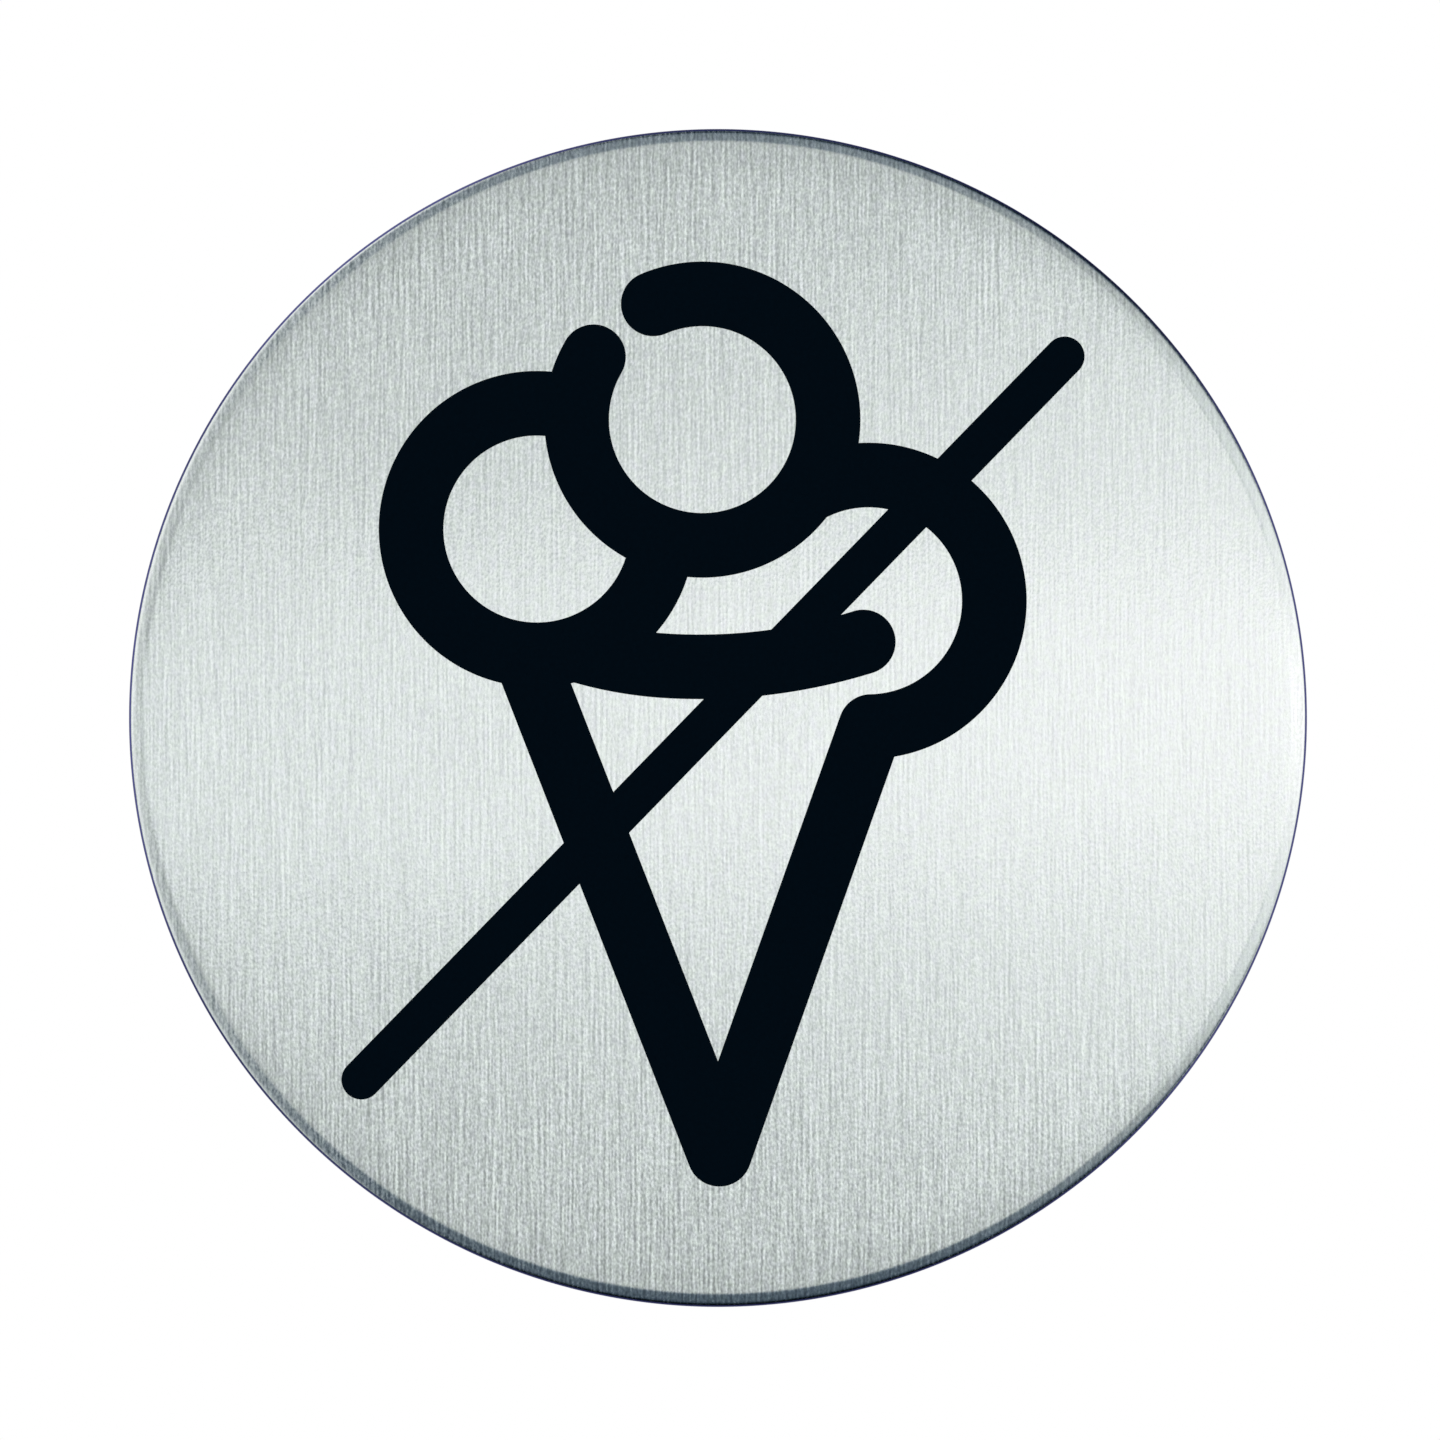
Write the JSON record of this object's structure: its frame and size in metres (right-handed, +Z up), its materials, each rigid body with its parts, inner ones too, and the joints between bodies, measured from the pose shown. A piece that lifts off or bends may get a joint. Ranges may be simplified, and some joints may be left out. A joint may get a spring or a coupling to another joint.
{
  "type": "no eating sign",
  "caption": "Round self-adhesive door sign in brushed steel, printed with an ice cream cone crossed by a diagonal bar.",
  "frame": {"origin": "centre of the adhesive face that meets the wall or door", "axes": "+Z up the sign, +Y into the wall, +X to the right of someone who reads the sign; the printed face looks along -Y"},
  "size_m": [0.083, 0.0021, 0.083],
  "materials": {
    "brushed_steel": "fine vertical brushed grain, satin",
    "black_ink": "blue-black screen print, smooth, slight gloss",
    "foam_pad": "white closed-cell foam with an adhesive film"
  },
  "bodies": {
    "root": {"sign_plate": "brushed_steel", "printed_symbol": "black_ink", "adhesive_pad": "foam_pad"}
  },
  "joints": []
}
